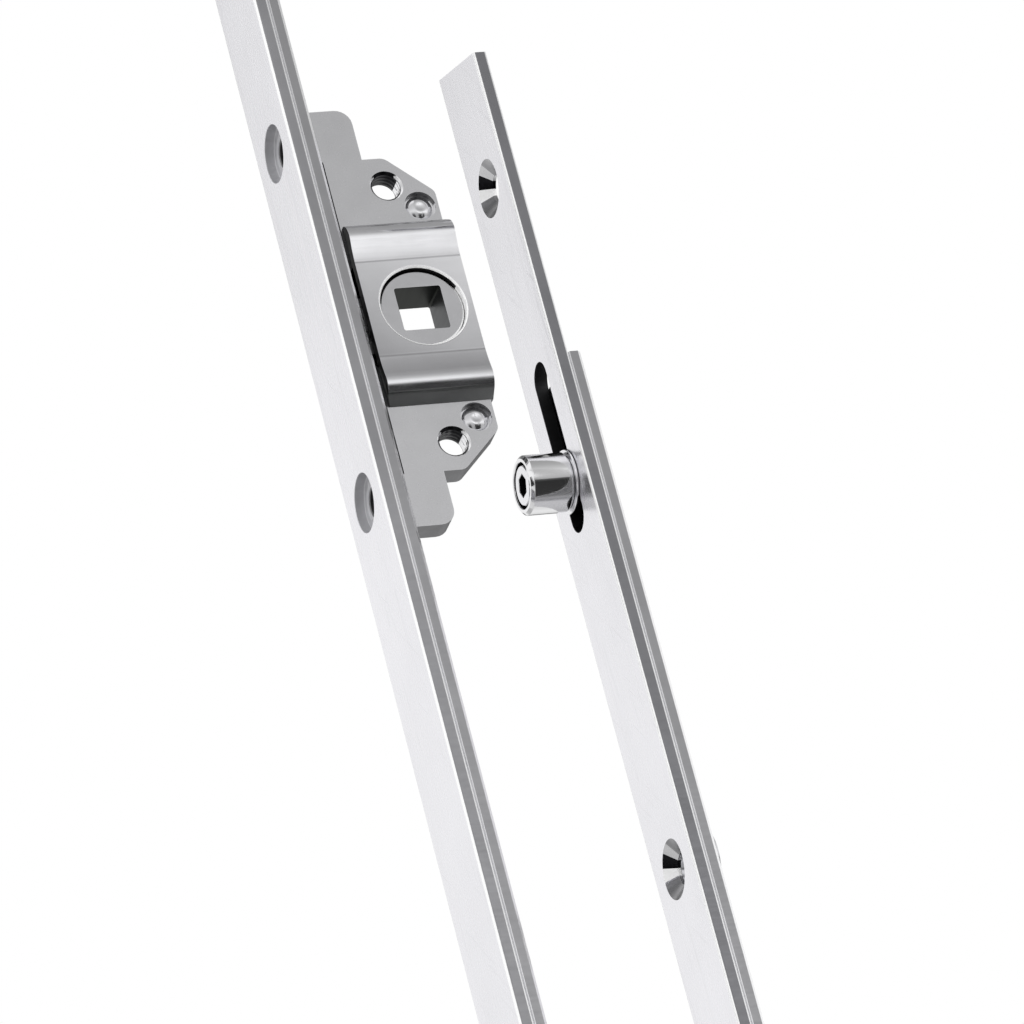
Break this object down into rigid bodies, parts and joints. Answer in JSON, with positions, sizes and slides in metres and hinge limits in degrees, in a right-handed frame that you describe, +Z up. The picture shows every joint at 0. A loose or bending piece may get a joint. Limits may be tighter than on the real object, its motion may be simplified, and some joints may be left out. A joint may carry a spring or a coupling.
{
  "type": "cremone bolt",
  "caption": "Recessed window espagnolette: drive gear with square spindle hole, sliding rods behind flat faceplates, and a head section with a roller cam.",
  "frame": {"origin": "on the spindle axis, midway between the two sides of the gear casing", "axes": "+X into the depth of the sash, away from the faceplate front; +Y along the spindle, away from the handle side; +Z up along the strips"},
  "size_m": [0.0364, 0.016, 0.242],
  "materials": {
    "zinc_plate": "bright zinc plating, smooth satin",
    "rod_steel": "zinc plating, satin",
    "cast_casing": "die-cast zinc alloy, fine satin",
    "rivet_steel": "plain steel, formed heads",
    "turned_steel": "zinc plated, turned",
    "follower_steel": "sintered steel, satin",
    "rack_steel": "cut steel, lightly oiled",
    "stud_steel": "bright zinc plating, turned",
    "roller_steel": "polished steel"
  },
  "bodies": {
    "frame": {"gear_faceplate": "zinc_plate", "head_faceplate": "zinc_plate", "casing_front": "cast_casing", "casing_back": "cast_casing", "upper_casing_rivet": "rivet_steel", "lower_casing_rivet": "rivet_steel", "upper_boss": "turned_steel", "lower_boss": "turned_steel", "upper_guide_bush": "turned_steel", "lower_guide_bush": "turned_steel", "head_guide_bush": "turned_steel"},
    "follower": {"spindle_follower": "follower_steel"},
    "gear_rod": {"gear_drive_rod": "rod_steel", "rack": "rack_steel", "upper_rack_rivet": "rivet_steel", "lower_rack_rivet": "rivet_steel"},
    "head_rod": {"head_drive_rod": "rod_steel", "roller_stud": "stud_steel", "roller_washer": "stud_steel"},
    "roller": {"roller_sleeve": "roller_steel"}
  },
  "joints": [
    {"name": "spindle_turn", "type": "hinge", "parent": "frame", "child": "follower", "pos_m": [0, 0, 0], "axis": [0, 1, 0], "range_deg": [0, 90]},
    {"name": "gear_rod_slide", "type": "slide", "parent": "frame", "child": "gear_rod", "axis": [0, 0, 1], "range_m": [0, 0.016]},
    {"name": "head_rod_slide", "type": "slide", "parent": "frame", "child": "head_rod", "axis": [0, 0, 1], "range_m": [0, 0.016]},
    {"name": "roller_spin", "type": "hinge", "parent": "head_rod", "child": "roller", "pos_m": [0.01232, 0, -0.0287], "axis": [1, 0, 0], "continuous": true}
  ],
  "couplings": [
    {"joint": "spindle_turn", "follows": "gear_rod_slide", "rad_per_m": 98.17},
    {"joint": "head_rod_slide", "follows": "gear_rod_slide", "ratio": 1}
  ]
}
